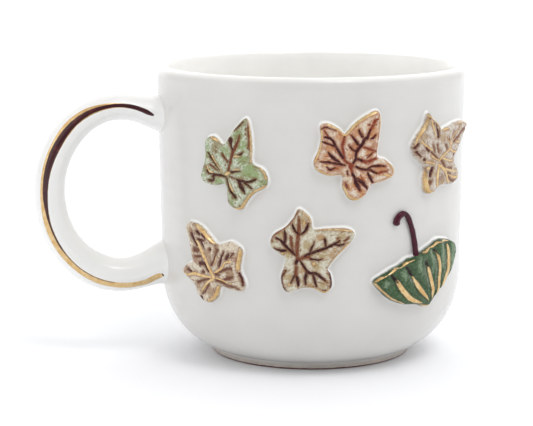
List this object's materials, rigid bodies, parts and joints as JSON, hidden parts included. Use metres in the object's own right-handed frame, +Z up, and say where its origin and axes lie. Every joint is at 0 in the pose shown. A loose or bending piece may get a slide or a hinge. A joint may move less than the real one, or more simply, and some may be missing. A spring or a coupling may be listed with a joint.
{
  "type": "stoneware mug",
  "caption": "Round stoneware mug with a loop handle, white glaze, and raised glazed leaves and an upside-down umbrella on its wall.",
  "frame": {"origin": "centre of the circle that the foot ring stands on, on the cup's axis", "axes": "+Z up the cup's axis; the handle is on -X; the decorated side faces -Y"},
  "size_m": [0.1281, 0.0922, 0.0853],
  "materials": {
    "white_glaze": "gloss, faintly uneven",
    "foot_glaze": "gloss down to a bare, dark standing edge",
    "green_glaze": "gloss, mottled, painted veins and gold edge",
    "russet_glaze": "gloss, mottled, painted veins and gold edge",
    "grey_glaze": "gloss, mottled, painted veins and gold edge",
    "brown_glaze": "gloss, mottled, gold veins",
    "sand_glaze": "gloss, mottled, painted veins and gold edge",
    "umbrella_glaze": "gloss, gold ribs and rim",
    "burgundy_glaze": "gloss"
  },
  "bodies": {
    "root": {"cup_body": "white_glaze", "foot_ring": "foot_glaze", "handle": "white_glaze", "leaf_green": "green_glaze", "leaf_russet": "russet_glaze", "leaf_grey": "grey_glaze", "leaf_brown": "brown_glaze", "leaf_sand": "sand_glaze", "umbrella_canopy": "umbrella_glaze", "umbrella_stick": "burgundy_glaze"}
  },
  "joints": []
}
